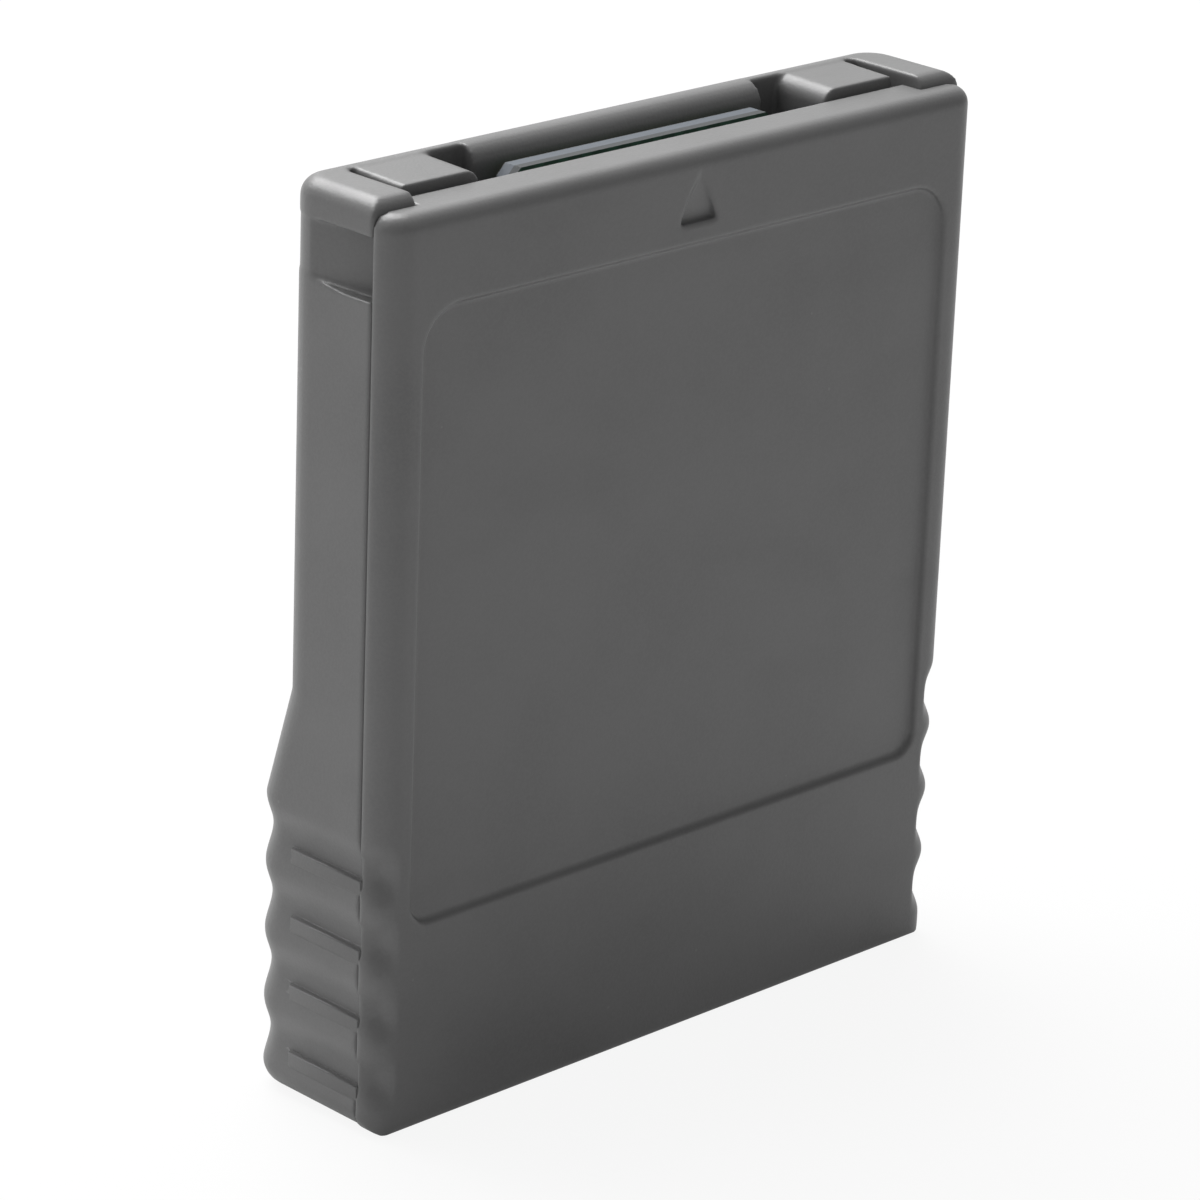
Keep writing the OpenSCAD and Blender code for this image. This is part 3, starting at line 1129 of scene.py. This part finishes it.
        def outside(middle: Vector) -> bool:
            """Picks the top edge toward the rim."""
            return abs(middle.x) > self.block_outer - SLACK and middle.z > top

        Bench.round_edges(block, Axis.Y, inside, self.block_inner_radius)
        Bench.round_edges(block, Axis.Y, outside, self.block_outer_radius)
        return block

    def lift_block(self, place: Vector) -> None:
        """Lifts the rear top edge of an end block to the rim.

        Args:
            place: A corner of the block.
        """
        if place.y > 0.0 and place.z > self.block_top - SLACK:
            place.z = self.shell.rim_height - self.block_drop

    def add_lip(self, body: bpy.types.Object) -> None:
        """Adds the thick rounded lip behind the board.

        Args:
            body: The cover.
        """
        s = self.shell
        front, top = s.rear - self.lip_depth, s.rim_height - SLACK
        low = (-self.lip_half, front, self.lip_foot)
        lip = Bench.box("lip", low, (self.lip_half, self.lip_back, s.rim_height))

        def at_front(middle: Vector) -> bool:
            """Picks the front top edge."""
            return middle.z > top and middle.y < front + SLACK

        def at_back(middle: Vector) -> bool:
            """Picks the back top edge."""
            return middle.z > top and middle.y > self.lip_back - SLACK

        Bench.round_edges(lip, Axis.X, at_front, self.lip_front_radius)
        Bench.round_edges(lip, Axis.X, at_back, self.lip_back_radius)
        Bench.combine(body, lip, Combine.ADD)

    def cut_openings(self, body: bpy.types.Object) -> None:
        """Cuts the card slot, and the wedge-shaped notch into each shoulder.

        Args:
            body: The cover.
        """
        s = self.shell
        openings = [s.slot()]
        for side in (-1, 1):
            floor, clear = s.half_width - self.notch_depth, s.half_width + OVERSHOOT
            low, high = sorted((side * floor, side * clear))
            start = (low, self.notch_front, self.notch_low)
            notch = Bench.box("notch", start, (high, self.notch_back, self.notch_high))
            Bench.shift(notch, self.slope_notch)
            openings.append(notch)
        Bench.merge(openings)
        Bench.combine(body, openings[0], Combine.CUT)

    def slope_notch(self, place: Vector) -> None:
        """Brings the notch floor up to the side at the back and undercuts the lower face.

        Args:
            place: A corner of the cutting block.
        """
        s = self.shell
        if place.y > 0.0:
            place.x = math.copysign(max(s.half_width, abs(place.x)), place.x)
        elif abs(place.x) < s.half_width and place.z < self.notch_low + SLACK:
            place.z -= self.notch_undercut

    def add_ribs(self, body: bpy.types.Object) -> None:
        """Adds the flat ribs that stand in the finger grooves, with crisp edges.

        Args:
            body: The cover.
        """
        grooves = range(self.shell.groove_count)
        ribs = [self.rib(side, groove) for side in (-1, 1) for groove in grooves]
        Bench.merge(ribs)
        Bench.combine(body, ribs[0], Combine.ADD)

    def rib(self, side: int, groove: int) -> bpy.types.Object:
        """Makes the rib of one finger groove.

        Args:
            side: -1 for the left and 1 for the right.
            groove: Number of the groove from below.

        Returns:
            The rib.
        """
        s = self.shell
        face = s.half_width - self.rib_face
        low, high = sorted((side * (face - self.rib_depth), side * face))
        middle = s.groove_first + groove * s.groove_pitch - self.rib_drop
        start = (low, s.parting + s.visible_seam / 2, middle - self.rib_height / 2)
        rib = Bench.box("rib", start, (high, self.rib_back, middle + self.rib_height / 2))
        Bench.shift(rib, self.slant_rib)
        Bench.round_edges(rib, Axis.Y, lambda m: abs(m.x) > face - SLACK, self.rib_radius)
        return rib

    def slant_rib(self, place: Vector) -> None:
        """Slants the rear end of a rib and leans its face back toward its lower edge.

        Args:
            place: A corner of the rib.
        """
        s = self.shell
        if abs(place.x) < s.half_width - self.rib_depth / 2:
            return
        if place.y > 0.0:
            place.y -= self.rib_slant
        step = (place.z - s.groove_first + self.rib_drop) % s.groove_pitch
        if step > s.groove_pitch / 2:
            place.x -= math.copysign(self.rib_lean, place.x)

    def add_posts(self, body: bpy.types.Object) -> None:
        """Adds the posts that clamp the board.

        Args:
            body: The cover.
        """
        s = self.shell
        for side in (-1, 1):
            for height in s.post_heights:
                back = s.grip_rear if height < s.highest_crest else s.rear
                post = s.post(side, height, self.post_start, back - s.wall)
                Bench.combine(body, post, Combine.ADD)

    def build(self) -> bpy.types.Object:
        """Makes the finished cover.

        Returns:
            The cover.
        """
        body = self.outer()
        self.hollow(body)
        self.add_lip(body)
        self.add_posts(body)
        self.add_blocks(body)
        self.cut_openings(body)
        Bench.soften(body, self.mesh)
        self.add_ribs(body)
        Bench.finish(body)
        return body


@dataclass
class Dresser:
    """Puts one finish on each carried-over solid."""

    finishes: dict[str, Finish] = field(default_factory=dict)
    made: dict[str, bpy.types.Material] = field(default_factory=dict)

    def add(self, finish: Finish) -> None:
        """Takes a finish under its material slot."""
        self.finishes[finish.slot] = finish

    def material(self, slot: str) -> bpy.types.Material:
        """The slot's material, built the first time it is asked for.

        Args:
            slot: The slot's name.

        Returns:
            The material.
        """
        if slot not in self.made:
            self.made[slot] = self.finishes[slot].make()
        return self.made[slot]

    def dress_node(self, name: str, slot: str) -> None:
        """Dresses one solid of the frame.

        Args:
            name: The solid's name.
            slot: The material slot of its finish.
        """
        mesh = frame["nodes"][name].data
        mesh.materials.clear()
        mesh.materials.append(self.material(slot))
        LOG.info("dressed %s in %s", name, slot)


@dataclass
class Studio:
    """White table and backdrop, a soft lamp and the camera."""

    camera_mm: Corner = (-181.813, -183.076, 120.626)
    right: Corner = (0.720621, -0.692425, 0.035404)
    up: Corner = (0.220411, 0.277202, 0.935189)
    back: Corner = (-0.657362, -0.666113, 0.352376)
    lens_mm: float = 155.374
    bright_side: Corner = (0.0, 0.97, 0.24)
    dark_level: float = 0.31
    bright_level: float = 0.85
    level_span: tuple[float, float] = (-0.3, 0.9)
    floor_colour: Colour = (0.62, 0.62, 0.62)
    floor_size: float = 4.0
    floor_drop: float = 0.00002
    seen_glow: float = 0.9
    mirrored_glow: float = 0.45
    lamp_mm: Corner = (40.0, 260.0, 420.0)
    lamp_aim_mm: Corner = (0.0, 0.0, 25.0)
    lamp_size_mm: float = 420.0
    lamp_watts: float = 4.0
    sensor_mm: float = 36.0
    clip: tuple[float, float] = (0.01, 10.0)

    def set_camera(self) -> None:
        """Places the camera at the photograph's viewing angle."""
        data = bpy.data.cameras.new("camera")
        data.lens = self.lens_mm
        data.sensor_width = self.sensor_mm
        data.clip_start, data.clip_end = self.clip
        camera = bpy.data.objects.new("camera", data)
        bpy.context.scene.collection.objects.link(camera)
        place = Vector(self.camera_mm) * MM
        columns = (self.right, self.up, self.back, place)
        turn = Matrix([[c[row] for c in columns] for row in range(3)] + [[0, 0, 0, 1]])
        camera.matrix_world = turn
        bpy.context.scene.camera = camera

    def lay_floor(self) -> None:
        """Lays the white table, which keeps a soft contact shadow."""
        bpy.ops.object.select_all(action="DESELECT")
        place = (0.0, 0.0, -self.floor_drop)
        bpy.ops.mesh.primitive_plane_add(size=self.floor_size, location=place)
        floor = bpy.context.object
        floor.name = "table_top"
        mix = Recipe("table_white")
        mix.dress(Base_Color=self.floor_colour, Roughness=0.9)
        seen = mix.add("ShaderNodeLightPath", output="Is Camera Ray")
        shine = mix.add("ShaderNodeLightPath", output="Is Glossy Ray")
        glow = mix.add("ShaderNodeEmission", inputs={"Color": (1.0, 1.0, 1.0), "Strength": 1.0})
        share = seen * self.seen_glow + shine * self.mirrored_glow
        base = Term(mix, mix.shader.outputs[0])
        both = mix.add("ShaderNodeMixShader", inputs={0: share, 1: base, 2: glow})
        mix.feed(mix.tree.nodes["Material Output"].inputs["Surface"], both)
        floor.data.materials.append(mix.material)

    def set_world(self) -> None:
        """Surrounds the scene with soft light, strongest behind and above the object."""
        sky = Sky("white_room")
        bpy.context.scene.world = sky.world
        toward = sky.add("ShaderNodeTexCoord", output="Generated")
        lean = sky.add(
            "ShaderNodeVectorMath",
            {"operation": "DOT_PRODUCT"},
            {0: toward, 1: self.bright_side},
            output="Value",
        )
        level = lean.ramp(*self.level_span, self.dark_level, self.bright_level)
        seen = sky.add("ShaderNodeLightPath", output="Is Camera Ray")
        strength = sky.add("ShaderNodeMath", {"operation": "MAXIMUM"}, {0: seen, 1: level})
        sky.dress(Color=(1.0, 1.0, 1.0), Strength=strength)

    def hang_lamp(self) -> None:
        """Hangs the soft lamp high behind the object and aims it."""
        name = "high_back_lamp"
        data = bpy.data.lights.new(name, "AREA")
        data.shape = "SQUARE"
        data.size = self.lamp_size_mm * MM
        data.energy = self.lamp_watts
        lamp = bpy.data.objects.new(name, data)
        bpy.context.scene.collection.objects.link(lamp)
        place = Vector(self.lamp_mm) * MM
        aim = Vector(self.lamp_aim_mm) * MM - place
        turn = aim.to_track_quat("-Z", "Y").to_matrix().to_4x4()
        lamp.matrix_world = Matrix.Translation(place) @ turn

    def build(self) -> None:
        """Sets the camera, the floor and the light."""
        self.set_camera()
        self.lay_floor()
        self.set_world()
        self.hang_lamp()
        bpy.context.scene.view_settings.view_transform = "Standard"
        LOG.info("studio ready")


def main() -> None:
    """Builds the studio and the adapter in order."""
    logging.basicConfig(level=logging.INFO, format="%(name)s: %(message)s")
    Studio().build()
    dresser = Dresser()
    for finish in (
        MouldedPlastic(),
        BoardLaminate(),
        PlatedMetal("gold_plate", (0.80, 0.56, 0.22), (0.62, 0.42, 0.20), 0.22),
        HousingPlastic(),
        PlatedMetal("shield_steel", (0.58, 0.59, 0.60), (0.40, 0.40, 0.40), 0.30),
        PlatedMetal("spring_bronze", (0.70, 0.50, 0.27), (0.46, 0.30, 0.17), 0.28),
        FiredCeramic("resistor_ceramic", (0.02, 0.02, 0.024)),
        FiredCeramic("capacitor_ceramic", (0.42, 0.29, 0.17), 0.5),
        PlatedMetal("tinned_metal", (0.66, 0.67, 0.68), (0.46, 0.46, 0.46), 0.34),
    ):
        dresser.add(finish)
    for part in frame["record"]["subparts"]:
        dresser.dress_node(part["node"], part["material_slot"])
    shell = Shell()
    for cover in (FrontCover(shell), RearCover(shell)):
        piece = cover.build()
        piece.data.materials.clear()
        piece.data.materials.append(dresser.material("grey_plastic"))
        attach(piece, "root")
        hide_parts(piece.name.removesuffix("_body"))
        LOG.info("built %s with %d faces", piece.name, len(piece.data.polygons))


if __name__ == "__main__":
    main()
